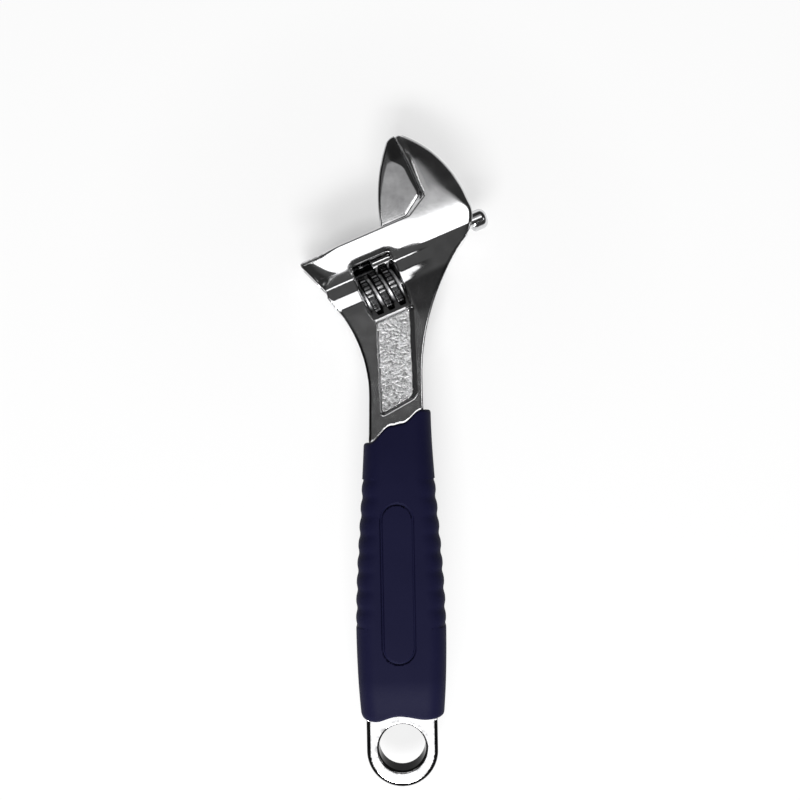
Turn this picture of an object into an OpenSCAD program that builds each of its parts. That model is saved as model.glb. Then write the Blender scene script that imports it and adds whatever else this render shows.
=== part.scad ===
// Adjustable wrench with a moulded comfort grip, jaws closed.
// The origin is the centre of the hanging hole, halfway through the thickness. +Y runs up the
// handle to the head, +X points to the fixed jaw's side and +Z out of the front face.
// The head has a frame of its own at the knurl's centre, turned by head_angle: there p runs
// along the beam towards the fixed jaw and q runs along the jaws towards their tips.

/* [Head frame] */
// Hanging hole to the knurl's centre, along the handle
reach = 144.5; // [140:0.5:160]
// Knurl's centre to the left of the handle's axis
head_shift = 3.8; // [2.5:0.1:5]
// Angle between the jaws and the handle
head_angle = 22.5; // [20:0.5:25]

/* [Beam] */
// Beam's top edge above the knurl's axis
beam_top = 17.3; // [16.8:0.1:18.5]
// Step from the web up to the beam, above the knurl's axis
beam_step = 6; // [5.5:0.1:6.5]
// Beam's tip to the left of the knurl's centre
beam_reach = 21.2; // [20:0.1:24]
// Sideways run of the beam's cut end for each mm of its height
beam_lean = 0.4; // [0.3:0.01:0.5]
// Thickness of the beam
beam_t = 14; // [13:0.1:16]
// Rounding of the beam's lower edge
beam_round = 2.4; // [1.5:0.1:3]
// Rounding of the beam's upper edge
beam_edge = 1.5; // [0.8:0.1:2]

/* [Fixed jaw] */
// Jaw face to the right of the knurl's centre
face_p = 23.2; // [22.5:0.1:24.5]
// Height of the throat's corner above the beam
throat_h = 3.8; // [3:0.1:4.2]
// Angle of the throat's bevel above the beam
throat_angle = 30; // [28:1:34]
// Fixed jaw's tip above the knurl's axis
jaw_tip = 43; // [40:0.1:43.5]
// Width of the fixed jaw's tip
tip_w = 1.8; // [0.6:0.1:2.4]
// Radius of the fixed jaw's back
back_r = 38.5; // [36:0.1:42]
// Radius of the shoulder below the back
shoulder_r = 10.6; // [10.2:0.1:12]
// Thickness of the jaws at their tips
tip_t = 6.4; // [5:0.1:8]

/* [Movable jaw] */
// Left end of the blade's foot, from the knurl's centre
foot_p = 7.2; // [6.5:0.1:8]
// Length of the blade's flat foot
foot_l = 8.7; // [8:0.1:9]
// Radius of the blade's outer edge
blade_r = 60; // [52:1:80]
// Height of the blade above the beam
blade_h = 26; // [24:0.1:26.5]
// Width of the blade at its tip
blade_tip_w = 2.2; // [1.8:0.1:3]
// Height of the blade's bevel over the throat
nest_h = 4.9; // [4.6:0.1:6]
// Step from the fixed jaw's side faces down to the blade's
blade_step = 0.3; // [0.1:0.1:1]
// Thickness of the key between the blade and the rod
key_t = 4; // [3:0.1:4.6]
// Radius of the rod
rod_r = 3.2; // [3:0.05:3.3]
// Length of the rod to the right of the knurl's centre
rod_l = 39.7; // [38.5:0.1:44]
// Rounding of the rod's outer end
rod_round = 2; // [0.5:0.1:2.4]
// Travel of the jaw from closed to fully open
jaw_travel = 27; // [20:0.5:27]

/* [Knurl] */
// Radius over the thread's crest
knurl_r = 6.9; // [6.8:0.05:7]
// Depth of the thread
thread_h = 1.9; // [1.7:0.05:2]
// Pitch of the thread and of the rack
pitch = 3.85; // [3.7:0.05:4.1]
// Width of the thread's crest
crest_w = 1.9; // [1.7:0.05:1.95]
// Flank angle of the thread
flank_angle = 14; // [10:1:15]
// Length of the knurl
knurl_l = 12; // [11:0.1:12.4]
// Serrations around the crest
serrations = 28; // [20:1:32]
// Depth of a serration
serration_h = 0.3; // [0.1:0.05:0.4]
// Chamfer of the knurl's ends
knurl_chamfer = 0.5; // [0.3:0.1:0.8]

/* [Knurl pin and spring] */
// Radius of the pin
pin_r = 1.6; // [1.4:0.05:1.8]
// Radius of the pin's slotted head
pin_head_r = 2.3; // [2:0.05:2.5]
// Length of the pin's slotted head
pin_head_l = 4; // [3:0.1:5]
// Depth of the head's screwdriver slot
pin_slot_h = 0.8; // [0.5:0.1:1]
// Length of the pin's end in its blind hole
pin_seat = 5; // [3:0.1:7]
// Wall between the window and the pin's head
pin_wall = 3.4; // [2.5:0.1:3.8]
// Diameter of the spring's wire
wire_d = 0.5; // [0.4:0.05:0.55]
// Turns of the spring
spring_turns = 4; // [3:1:5]
// Depth of the pocket for the spring in the knurl
pocket_l = 3.4; // [2.6:0.1:4]

/* [Web and neck] */
// Width of the neck
neck_w = 17; // [16:0.1:18]
// Thickness of the web and the neck
web_t = 10; // [9.4:0.1:10.8]
// Start of the neck's left sweep, below the knurl's centre
left_start = 33.5; // [31:0.5:36]
// Start of the neck's right sweep, below the knurl's centre
right_start = 28.5; // [26:0.5:31]
// Rounding of the neck's and the handle's edges
edge_r = 1.8; // [1:0.1:2.2]
// Depth of the panel in each face of the neck
panel_h = 1.1; // [0.5:0.1:1.5]
// Length of the panel along its middle
panel_l = 28; // [22:0.5:28.5]
// Width of the panel
panel_w = 9.9; // [7:0.1:10.5]
// Rise of the panel's slanted lower end over its width
panel_slant = 5.4; // [0:0.1:6]

/* [Ring] */
// Radius of the hanging hole
hole_r = 7.4; // [5:0.1:7.8]
// Radius of the ring's outer end
ring_r = 11.2; // [10.6:0.1:11.6]
// Centre of the ring's outer end below the hole's centre
ring_drop = 1.1; // [0.5:0.1:2]
// Thickness of the ring and of the handle's lower end
ring_t = 8; // [7:0.1:9]
// Chamfer of the ring's edges and of the hole
ring_chamfer = 0.7; // [0.3:0.1:1]

/* [Grip] */
// Lower end of the grip above the hanging hole's centre
grip_start = 8.2; // [8:0.1:9.5]
// Length of the grip up to its highest point
grip_l = 98; // [94:0.5:99]
// Width of the grip at its widest
grip_w = 28.4; // [27.6:0.1:32]
// Width of the grip at its upper end
grip_top_w = 21.2; // [20.6:0.1:24]
// Thickness of the grip
grip_t = 18; // [16:0.1:20]
// Scallops on each side
scallops = 8; // [5:1:9]
// Length of a scallop
scallop_l = 5.8; // [5.4:0.1:6]
// Depth of the notch between two scallops
scallop_h = 0.4; // [0.2:0.05:0.8]
// Width of the stadium outline around the bare label place
badge_w = 10.4; // [8:0.1:12]
// Length of the stadium outline
badge_l = 50; // [30:1:52]

/* [Clearances] */
// Sliding clearance around the rod and the key, and between the jaws
slide_gap = 0.1; // [0.06:0.01:0.15]
// Running clearance of the knurl on its pin
run_gap = 0.05; // [0.02:0.01:0.08]
// Backlash on each flank between the thread and the rack
backlash = 0.12; // [0.1:0.01:0.16]
// Play between each end of the knurl and the window
end_play = 0.5; // [0.3:0.05:0.6]
// Gap between the grip's bore and the handle
grip_gap = 0.05; // [0.02:0.01:0.1]

/* [Hidden] */
$fn = 64;
chrome = "silver";
bright = "gainsboro";
navy = [0.07, 0.07, 0.2];
over = 1; // how far a cutting tool runs past the face that it cuts
hair = 0.02; // keeps the faces of joined solids out of one plane
corner_steps = 4; // facets of a rounded corner

// Knurl, rack and the window they meet in
root_r = knurl_r - thread_h;
rod_q = root_r + slide_gap + rod_r;
bore_r = rod_r + slide_gap;
lead = atan(pitch / (2 * PI * (knurl_r - thread_h / 2)));
front_crest = -0.42; // a crest's centre on the knurl's front side
top_crest = front_crest - pitch / 4; // the same crest a quarter turn before, in the rack
window_half = knurl_l / 2 + end_play;
window_low = knurl_r + 1.3;
window_top = rod_q + 1;

// Head's outline
throat_q = beam_top + throat_h;
back_q = beam_top - 1; // the fixed jaw's back stands at right angles to the beam here
shoulder_q = back_q - 2.8; // the shoulder's arc begins here
back_centre = face_p + tip_w - sqrt(pow(back_r, 2) - pow(jaw_tip - back_q, 2));
back_p = back_centre + back_r;

// Blade and key
blade_q = beam_top + slide_gap;
blade_face = face_p - slide_gap;
blade_tip = blade_q + blade_h;
key_p = foot_p + 0.3;
key_l = foot_l - 0.6;
rack_end = jaw_travel + window_half;

// Pin and spring
pin_left = -window_half - pin_wall - pin_head_l;
pin_right = window_half + pin_seat;
spring_r = pin_r + 0.15 + wire_d / 2;
pocket_r = spring_r + wire_d / 2 + 0.2;

// Handle
ring_seat = 9; // the handle grows out of the ring here
left_y = reach - left_start;
right_y = reach - right_start;
grip_end = grip_start + grip_l;
grip_widest = grip_start + 30;
grip_shift = 0.3; // the grip sits this far to the fixed jaw's side
flat_low = grip_start + 14; // the grip's faces are flat between these two heights
flat_high = grip_end - 24;

// ---- Places ----

// Point of the head's frame in the wrench's frame
function head_point(p, q) = [
    p * cos(head_angle) - q * sin(head_angle) - head_shift,
    p * sin(head_angle) + q * cos(head_angle) + reach
];

// x of the line at height q of the head, at height y of the wrench
function head_line(q, y) = ((y - reach) * cos(head_angle) - q) / sin(head_angle) - head_shift;

module in_head() {
    translate([-head_shift, reach, 0])
        rotate([0, 0, head_angle])
            children();
}

// Cylinder along the head's p axis
module bar(p1, p2, q, r) {
    translate([p1, q, 0])
        rotate([0, 90, 0])
            cylinder(h = p2 - p1, r = r);
}

// ---- Sections and lofts ----

// Quarter round about c, from angle a
function corner(c, r, a) = [
    for (i = [0:corner_steps])
        c + r * [cos(a + 90 * i / corner_steps), sin(a + 90 * i / corner_steps)]
];

// Section from x1 to x2 and from -t to t, with corner radii r1 at x1 and r2 at x2
function section(x1, x2, t, r1, r2) = concat(
    corner([x2 - r2, t - r2], r2, 0),
    corner([x1 + r1, t - r1], r1, 90),
    corner([x1 + r1, r1 - t], r1, 180),
    corner([x2 - r2, r2 - t], r2, 270)
);

// Section stood up across the Y axis at y, tipped by lean for each mm of x
function ring_at(y, x1, x2, t, r1, r2, lean = 0) =
    let (most = 0.49 * min(2 * t, x2 - x1))
    [for (s = section(x1, x2, t, min(r1, most), min(r2, most))) [s.x, y + lean * s.x, s.y]];

// Faces of a skin over `count` rings of n points each, closed at both ends
function skin(n, count) = concat(
    [[for (i = [n - 1:-1:0]) i]],
    [
        for (k = [0:n:(count - 2) * n], i = [0:n - 1])
            let (j = (i + 1) % n)
            each [[k + i, k + j, k + n + j], [k + i, k + n + j, k + n + i]]
    ],
    [[for (i = [0:n - 1]) (count - 1) * n + i]]
);

// Solid skinned over rings that follow each other up the Y axis
module loft(rings) {
    polyhedron(points = [for (r = rings) each r], faces = skin(len(rings[0]), len(rings)));
}

// Sweep of a section along a helix round the Z axis. Its points are [radius, height], and the
// sections of the list take turns, step by step.
module helix(sections, pitch, turns, steps) {
    count = round(turns * steps);
    points = [
        for (k = [0:count], s = sections[k % len(sections)])
            let (a = 360 * k / steps)
            [s.x * cos(a), s.x * sin(a), s.y + pitch * k / steps]
    ];
    polyhedron(points = points, faces = skin(len(sections[0]), count + 1));
}

// ---- Body ----

// Half thickness of the head at height q: web, rounded step, beam, then the jaws' taper
function head_half(q) =
    let (up = q - beam_step)
    up < 0 ? web_t / 2 :
    up < beam_round ? beam_t / 2 - beam_round + sqrt(up * (2 * beam_round - up)) :
    q < back_q ? beam_t / 2 :
    beam_t / 2 - (beam_t - tip_t) / 2 * (q - back_q) / (jaw_tip - back_q);

// Outer edge of the fixed jaw at height q: shoulder, a short straight stretch, back
function back(q) =
    q > back_q ? back_centre + sqrt(pow(back_r, 2) - pow(q - back_q, 2)) :
    q > shoulder_q ? back_p :
    back_p - shoulder_r + sqrt(pow(shoulder_r, 2) - pow(shoulder_q - q, 2));

// Inner edge of the fixed jaw at height q: inside the beam, up the bevel, then the jaw's face
function mouth(q) =
    let (bevel_p = face_p - (throat_q - q) / tan(throat_angle))
    q > throat_q ? face_p : max(bevel_p, face_p - throat_h / tan(throat_angle) - 3);

module fixed_jaw() {
    step_levels = [for (i = [0:4]) beam_step + 0.01 + beam_round * (1 - cos(90 * i / 4))];
    tip_levels = [for (i = [1:9]) throat_q + (jaw_tip - throat_q) * sin(90 * i / 9)];
    levels = concat(
        [beam_step - 2, beam_step - 1],
        step_levels,
        [shoulder_q - 2, shoulder_q, back_q, (back_q + throat_q) / 2, throat_q],
        tip_levels
    );
    loft([for (q = levels) ring_at(q, mouth(q), back(q), head_half(q) - hair, 0.6, 2.6)]);
}

// Ring of the beam at a distance from its tip, drawn in by inset. Its x is -q.
function beam_ring(distance, inset, lean) = ring_at(
    distance - beam_reach + lean * beam_top,
    inset - beam_top,
    -beam_step - inset,
    beam_t / 2 - inset,
    beam_edge, beam_round, lean
);

module beam() {
    tip_round = 1.2;
    tip = [
        for (a = [90, 60, 30, 0])
            beam_ring(tip_round * (1 - sin(a)), tip_round * (1 - cos(a)), beam_lean)
    ];
    rest = [
        beam_ring(9, 0, beam_lean / 2),
        beam_ring(beam_reach - 1, 0, 0),
        beam_ring(beam_reach + face_p + 4, 0, 0)
    ];
    rotate([0, 0, -90])
        loft(concat(tip, rest));
}

// Half width and half thickness of the handle below the sweeps, at height y
function handle_at(y) =
    let (f = max(0, min(1, (left_y - y) / (left_y - ring_seat))))
    [neck_w / 2 + (ring_r - neck_w / 2) * f, web_t / 2 + (ring_t - web_t) / 2 * f];

// Ends of the two sweeps: just inside the beam's lower corner, and on the shoulder
left_top = head_point(beam_lean * (beam_top - beam_step) - beam_reach, beam_step) + [0.6, -2.4];
right_top = head_point(
    back_p - shoulder_r * (1 - cos(60)),
    shoulder_q - shoulder_r * sin(60)
);

// Sideways run at height y of an arc that starts upright at height y0 and ends `out` aside at y1
function sweep(y, y0, y1, out) =
    let (r = (pow(out, 2) + pow(y1 - y0, 2)) / (2 * out), h = max(0, min(y, y1) - y0))
    r - sqrt(r * r - h * h);

// Ring of the handle at height y. Above the sweeps its left edge hides inside the beam.
function handle_ring(y) =
    let (
        half = handle_at(y),
        left = half.x + sweep(y, left_y, left_top.y, -left_top.x - neck_w / 2),
        right = half.x + sweep(y, right_y, right_top.y, right_top.x - neck_w / 2)
    )
    ring_at(y, max(-left, head_line(beam_step + 4, y)), right, half.y, edge_r, edge_r);

module handle() {
    levels = concat(
        [ring_seat + 0.01, left_y],
        [for (i = [1:9]) left_y + (left_top.y - left_y) * i / 9],
        [for (i = [1:6]) left_top.y + (right_top.y - left_top.y) * i / 6]
    );
    foot = ring_at(
        ring_seat - 4, hair - ring_r, ring_r - hair, ring_t / 2 - hair, edge_r, edge_r
    );
    loft(concat([foot], [for (y = levels) handle_ring(y)]));
}

// Section of the ring's rim, from the middle to the outer edge
module rim() {
    t = ring_t / 2;
    in = ring_r - ring_chamfer;
    polygon([[0, -t], [in, -t], [ring_r, ring_chamfer - t], [ring_r, t - ring_chamfer], [in, t], [0, t]]);
}

module ring() {
    translate([0, -ring_drop, 0])
        rotate_extrude()
            rim();
    for (side = [0, 1])
        mirror([side, 0, 0])
            translate([0, ring_seat, 0])
                rotate([90, 0, 0])
                    linear_extrude(ring_seat + ring_drop)
                        rim();
}

module hanging_hole() {
    cylinder(h = ring_t + 2 * over, r = hole_r, center = true);
    for (side = [0, 1])
        mirror([0, 0, side])
            translate([0, 0, ring_t / 2 - ring_chamfer])
                cylinder(h = 2 * ring_chamfer, r1 = hole_r, r2 = hole_r + 2 * ring_chamfer);
}

// Window that the knurl stands in, through both faces
module window() {
    r = 1;
    translate([0, 0, -beam_t])
        linear_extrude(2 * beam_t) {
            translate([-window_half, -window_low])
                square([2 * window_half, window_top + window_low - r]);
            translate([r - window_half, 0])
                square([2 * (window_half - r), window_top]);
            for (x = [r - window_half, window_half - r])
                translate([x, window_top - r])
                    circle(r);
        }
}

// Bore of the rod right through the head, and the key's slot up through the beam's top
module rod_way() {
    bar(-beam_reach - over, back_p + over, rod_q, bore_r);
    translate([-beam_reach - over, rod_q, -key_t / 2 - slide_gap])
        cube([
            beam_reach + over + key_p + key_l + slide_gap,
            beam_top - rod_q + over,
            key_t + 2 * slide_gap
        ]);
}

// Stepped bore of the knurl pin, from the web's left edge to a blind end past the window
module pin_way() {
    bar(pin_left - 8, pin_left + pin_head_l, 0, pin_head_r + run_gap);
    bar(pin_left, pin_right + run_gap, 0, pin_r + run_gap);
}

// Sunk panel in the front face. Its upper end runs along the window, its lower end slants up.
module panel() {
    r = 0.8;
    rib = 1.3; // land between the window and the panel
    lean = 0.4; // the panel's middle moves this far to the left at the top, to the right below
    top_y = reach + (head_shift * sin(head_angle) - window_low - rib) / cos(head_angle);
    translate([0, 0, web_t / 2 - panel_h])
        linear_extrude(beam_t)
            hull()
                for (side = [-1, 1]) {
                    x = side * (panel_w / 2 - r);
                    translate([x - lean, top_y - r + x * tan(head_angle)])
                        circle(r, $fn = 24);
                    translate([x + lean, top_y + r - panel_l + side * panel_slant / 2])
                        circle(r, $fn = 24);
                }
}

module body() {
    color(chrome)
        difference() {
            union() {
                ring();
                handle();
                in_head() {
                    beam();
                    fixed_jaw();
                }
            }
            hanging_hole();
            in_head() {
                window();
                rod_way();
                pin_way();
            }
            for (side = [0, 1])
                mirror([0, 0, side])
                    panel();
        }
}

// ---- Movable jaw ----

// Left edge of the blade at height q: an arc of blade_r from the foot to the tip's left corner
blade_foot = [foot_p, blade_q];
blade_corner = [blade_face - blade_tip_w, blade_tip];
blade_chord = blade_corner - blade_foot;
blade_centre = (blade_foot + blade_corner) / 2
    + [blade_chord.y, -blade_chord.x] / norm(blade_chord)
    * sqrt(pow(blade_r, 2) - pow(norm(blade_chord) / 2, 2));
function blade_left(q) = blade_centre.x - sqrt(pow(blade_r, 2) - pow(q - blade_centre.y, 2));

// Right edge of the blade at height q: up the bevel that nests over the throat, then the face
function blade_right(q) =
    let (run = blade_face - foot_p - foot_l)
    min(blade_face, foot_p + foot_l + run * (q - blade_q) / nest_h);

// Ring of the blade at height q, drawn in all round by inset
function blade_ring(q, inset) = ring_at(
    q,
    blade_left(q) + inset,
    blade_right(q) - inset,
    head_half(q) - blade_step - inset,
    1.4, 0.6
);

module blade() {
    tip_round = 1.6;
    nest_q = blade_q + nest_h;
    levels = concat(
        [blade_q, blade_q + nest_h / 2, nest_q],
        [for (i = [1:8]) nest_q + (blade_tip - tip_round - nest_q) * i / 8]
    );
    tip = [
        for (a = [30, 60, 80])
            blade_ring(blade_tip - tip_round * (1 - sin(a)), tip_round * (1 - cos(a)))
    ];
    loft(concat([for (q = levels) blade_ring(q, 0)], tip));
}

module rod() {
    translate([0, rod_q, 0])
        rotate([0, 90, 0])
            rotate_extrude() {
                square([rod_r - rod_round, rod_l]);
                square([rod_r, rod_l - rod_round]);
                translate([rod_r - rod_round, rod_l - rod_round])
                    intersection() {
                        circle(rod_round);
                        square(rod_round);
                    }
            }
}

// Spaces between the rack's teeth: the thread's section and its backlash, laid over by the lead
module rack_gaps() {
    low = rod_q - rod_r - over;
    high = knurl_r + 0.15;
    low_half = crest_w / 2 + backlash + (knurl_r - low) * tan(flank_angle);
    high_half = crest_w / 2 + backlash;
    count = floor((rack_end - top_crest) / pitch);
    for (k = [0:count])
        translate([top_crest + k * pitch, 0, 0])
            rotate([0, lead, 0])
                linear_extrude(2 * rod_r + 2 * over, center = true)
                    polygon([
                        [-low_half, low], [low_half, low], [high_half, high], [-high_half, high]
                    ]);
}

module movable_jaw() {
    color(chrome)
        in_head() {
            blade();
            difference() {
                union() {
                    rod();
                    translate([key_p, rod_q, -key_t / 2])
                        cube([key_l, blade_q - rod_q + 1, key_t]);
                }
                rack_gaps();
            }
        }
}

// ---- Knurl, pin and spring ----

// Section of the thread, from inside the core to a crest of radius r
function thread_section(r) =
    let (
        inner = root_r - 0.7,
        half = crest_w / 2 + (knurl_r - inner) * tan(flank_angle)
    )
    [[inner, -half], [r, -crest_w / 2], [r, crest_w / 2], [inner, half]];

// Solid that trims the thread to the knurl's length, with chamfered ends
module knurl_envelope() {
    r = knurl_r + 0.3;
    half = knurl_l / 2;
    in = knurl_r - knurl_chamfer;
    slope = r - in;
    rotate_extrude()
        polygon([[0, -half], [in, -half], [r, slope - half], [r, half - slope], [in, half], [0, half]]);
}

module knurl() {
    start = front_crest - pitch * 2.5; // the crest passes the front side half a turn later
    color(bright)
        in_head()
            rotate([0, 90, 0])
                difference() {
                    union() {
                        cylinder(h = knurl_l, r = root_r, center = true);
                        intersection() {
                            translate([0, 0, start])
                                helix(
                                    [thread_section(knurl_r), thread_section(knurl_r - serration_h)],
                                    pitch, 5, 2 * serrations
                                );
                            knurl_envelope();
                        }
                    }
                    cylinder(h = knurl_l + 2 * over, r = pin_r + run_gap, center = true);
                    translate([0, 0, -knurl_l / 2 - over])
                        cylinder(h = pocket_l + over, r = pocket_r);
                }
}

module knurl_pin() {
    color(chrome)
        in_head()
            difference() {
                union() {
                    bar(pin_left, pin_right, 0, pin_r);
                    bar(pin_left, pin_left + pin_head_l, 0, pin_head_r);
                }
                translate([pin_left - over, -0.35, -pin_head_r - over])
                    cube([pin_slot_h + over, 0.7, 2 * (pin_head_r + over)]);
            }
}

// Compression spring round the pin, from the window's wall into the knurl's pocket
module knurl_spring() {
    room = end_play + pocket_l - 2 * slide_gap;
    wire = [for (a = [0:60:300]) [spring_r + wire_d / 2 * cos(a), wire_d / 2 * sin(a)]];
    color(bright)
        in_head()
            translate([slide_gap - window_half, 0, 0])
                rotate([0, 90, 0])
                    translate([0, 0, wire_d / 2])
                        helix([wire], (room - wire_d) / spring_turns, spring_turns, 16);
}

// ---- Grip ----

// 0 to 1 in a smooth step as x goes from 0 to 1
function ease(x) = (1 - cos(180 * max(0, min(1, x)))) / 2;

// Depth of the scallops' notches at height y: rounded swellings with a narrow notch between
function notch(y) =
    let (turn = (y - grip_widest) / scallop_l)
    turn < 0 || turn > scallops ? 0 : scallop_h * pow(abs(cos(180 * turn)), 3);

// Half width of the grip at height y: its lower end, the swelling, the taper to the top
function grip_half(y) =
    let (
        low = (grip_widest - y) / (grip_widest - grip_start),
        end = max(0, 1 - (y - grip_start + 1) / 4)
    )
    y > grip_widest ?
        (grip_w - (grip_w - grip_top_w) * ease((y - grip_widest) / (grip_end - grip_widest))) / 2 :
        grip_w / 2 - 1.2 * low * low - 2.2 * end * end;

// Half thickness of the grip at height y
function grip_thick(y) =
    grip_t / 2 - 1.6 * ease((flat_low - y) / (flat_low - grip_start))
    - 1.6 * ease((y - flat_high) / (grip_end - flat_high));

module grip_outside() {
    fine = scallop_l / 6;
    levels = concat(
        [for (y = [grip_start - 1:1.25:grip_start + 5]) y],
        [for (y = [grip_start + 8:4:grip_widest - 2]) y],
        [for (i = [0:scallops * 6]) grip_widest + i * fine],
        [for (i = [1:7]) let (y0 = grip_widest + scallops * scallop_l) y0 + (grip_end + 1 - y0) * i / 7]
    );
    loft([
        for (y = levels)
            let (half = grip_half(y) - notch(y))
            ring_at(y, grip_shift - half, grip_shift + half, grip_thick(y), 6.2, 6.2)
    ]);
}

// The handle with the grip's gap all round, squared off where it takes the ring
module grip_bore() {
    square_r = ring_chamfer / 2;
    loft([
        for (e = [
            [ring_seat - 8, square_r], [ring_seat + 0.1, square_r],
            [ring_seat + 1, edge_r], [grip_end + 3, edge_r]
        ])
            let (half = handle_at(e[0]) + [grip_gap, grip_gap])
            ring_at(e[0], -half.x, half.x, half.y, e[1], e[1])
    ]);
}

// Half wave from height y1 at x1 to y2 at x2
function wave(x1, y1, x2, y2) = [for (i = [0:5]) [x1 + (x2 - x1) * i / 6, y1 + (y2 - y1) * ease(i / 6)]];

// Space above the grip's upper edge, which climbs in two waves to the fixed jaw's side
module above_grip() {
    side = grip_w;
    edge = concat(
        [[-side, grip_end - 10.4]],
        wave(-9, grip_end - 10.2, -1.5, grip_end - 4.8),
        wave(-1.5, grip_end - 4.8, 1.5, grip_end - 4.2),
        wave(1.5, grip_end - 4.2, 8, grip_end),
        [[8, grip_end], [side, grip_end]]
    );
    translate([0, 0, -grip_t])
        linear_extrude(2 * grip_t)
            polygon(concat(edge, [[side, grip_end + 5], [-side, grip_end + 5]]));
}

// Space below the grip's lower edge, which rises over the hanging hole
module below_grip() {
    side = grip_w;
    edge = concat(
        [[-side, grip_start - 0.9]],
        wave(-9.5, grip_start - 0.9, -1, grip_start + 1.1),
        wave(-1, grip_start + 1.1, 8, grip_start - 0.2),
        [[8, grip_start - 0.2], [side, grip_start - 0.2]]
    );
    translate([0, 0, -grip_t])
        linear_extrude(2 * grip_t)
            polygon(concat(edge, [[side, grip_start - 5], [-side, grip_start - 5]]));
}

// Stadium of a width and a length on the Y axis
module stadium(w, l) {
    square([w, l - w], center = true);
    for (side = [-1, 1])
        translate([0, side * (l - w) / 2])
            circle(d = w);
}

// Sunk stadium line in the grip's front face
module badge_line() {
    line_w = 0.6;
    depth = 0.3;
    translate([grip_shift - 0.8, (flat_low + flat_high) / 2, grip_t / 2 - depth])
        linear_extrude(grip_t)
            difference() {
                stadium(badge_w, badge_l);
                stadium(badge_w - 2 * line_w, badge_l - 2 * line_w);
            }
}

module grip() {
    color(navy)
        difference() {
            grip_outside();
            grip_bore();
            above_grip();
            below_grip();
            for (side = [0, 1])
                mirror([0, 0, side])
                    badge_line();
        }
}

// ---- What is drawn ----

body();
movable_jaw();
knurl();
knurl_pin();
knurl_spring();
grip();
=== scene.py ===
import bpy
import math
import numpy as np
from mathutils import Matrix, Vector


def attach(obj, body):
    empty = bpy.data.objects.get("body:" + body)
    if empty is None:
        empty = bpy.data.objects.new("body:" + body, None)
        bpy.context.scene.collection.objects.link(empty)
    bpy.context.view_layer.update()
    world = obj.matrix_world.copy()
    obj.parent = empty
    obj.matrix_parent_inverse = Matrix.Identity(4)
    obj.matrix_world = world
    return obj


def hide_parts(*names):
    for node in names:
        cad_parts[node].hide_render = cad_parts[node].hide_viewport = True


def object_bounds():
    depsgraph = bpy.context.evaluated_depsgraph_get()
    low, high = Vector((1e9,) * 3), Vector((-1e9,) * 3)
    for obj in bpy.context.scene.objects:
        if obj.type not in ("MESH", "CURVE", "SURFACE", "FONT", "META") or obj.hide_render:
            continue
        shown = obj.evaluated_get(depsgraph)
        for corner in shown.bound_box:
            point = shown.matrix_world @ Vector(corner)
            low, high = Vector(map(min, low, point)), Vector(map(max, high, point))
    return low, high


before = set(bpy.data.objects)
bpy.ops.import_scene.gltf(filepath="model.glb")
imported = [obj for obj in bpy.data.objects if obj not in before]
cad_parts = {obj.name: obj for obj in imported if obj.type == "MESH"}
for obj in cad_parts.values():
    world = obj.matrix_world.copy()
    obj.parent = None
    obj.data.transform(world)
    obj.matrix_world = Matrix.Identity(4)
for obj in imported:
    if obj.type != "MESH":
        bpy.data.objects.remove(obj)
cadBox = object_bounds()

# All shapes are worked out in millimetres, from the hanging hole's centre, and become metres
# when their mesh is made. The head has its own p and q, p along the beam and q along the jaws,
# measured from the knurl's centre. The handle goes up along y.
mm = 0.001
headTurn = math.radians(22.5)  # the head leans this far from the handle
headPlace = (-3.8, 144.5)

cameraSettings = {
    "place": (0.0, 100.0, 300.0),
    "lens": 42.4,
    "sensor": 36,
    "turn": math.radians(-1.07),
    "shift": (0.0042, 0.037),
    "clip": (0.01, 50),  # in metres
}


def makeCamera(settings):
    data = bpy.data.cameras.new("mainCamera")
    data.lens = settings["lens"]
    data.sensor_width = settings["sensor"]
    data.shift_x, data.shift_y = settings["shift"]
    data.clip_start, data.clip_end = settings["clip"]
    camera = bpy.data.objects.new("mainCamera", data)
    camera.location = [v * mm for v in settings["place"]]
    camera.rotation_euler = (0, 0, settings["turn"])  # it looks straight down
    bpy.context.scene.collection.objects.link(camera)
    bpy.context.scene.camera = camera


makeCamera(cameraSettings)
print("camera ready")


# A shape is a function that is negative inside it and close to the distance from its surface.

def trimmed(a, b, r):  # what a and b share, with a round of r along their edge
    outside = np.hypot(np.maximum(a + r, 0), np.maximum(b + r, 0))
    return np.minimum(np.maximum(a, b), -r) + outside


def joined(a, b, r):  # a and b together, with a fillet of r between them
    inside = np.hypot(np.maximum(r - a, 0), np.maximum(r - b, 0))
    return np.maximum(np.minimum(a, b), r) - inside


def between(value, start, end):  # climbs smoothly from 0 at start to 1 at end, either way round
    t = np.clip((value - start) / (end - start), 0, 1)
    return t * t * (3 - 2 * t)


def toHead(x, y):
    dx, dy = x - headPlace[0], y - headPlace[1]
    c, s = math.cos(headTurn), math.sin(headTurn)
    return dx * c + dy * s, dy * c - dx * s


def fromHead(points):
    c, s = math.cos(headTurn), math.sin(headTurn)
    p, q, z = points.T
    return np.stack([p * c - q * s + headPlace[0], p * s + q * c + headPlace[1], z], 1)


def normalsFromHead(normals):  # the same turn without the shift
    return fromHead(normals) - fromHead(np.zeros_like(normals))


def steps(*stretches):  # places along one axis: (from, to, step) for each stretch
    parts = [np.arange(a, b, s) for a, b, s in stretches]
    return np.concatenate(parts + [[stretches[-1][1]]])


def slopesOf(shape, points, reach):
    slope = np.empty_like(points)
    for axis in range(3):
        shift = np.zeros(3)
        shift[axis] = reach
        ahead, behind = points + shift, points - shift
        slope[:, axis] = (shape(*ahead.T) - shape(*behind.T)) / (2 * reach)
    return slope


netSettings = {
    "slices": 16,  # worked out at a time, to save memory
    "pulls": 5,  # steps that draw the net onto the surface
    "longestPull": 0.6,  # as a share of the smallest cell
    "slopeReach": 0.01,
    "normalReach": 0.03,
}


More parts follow.
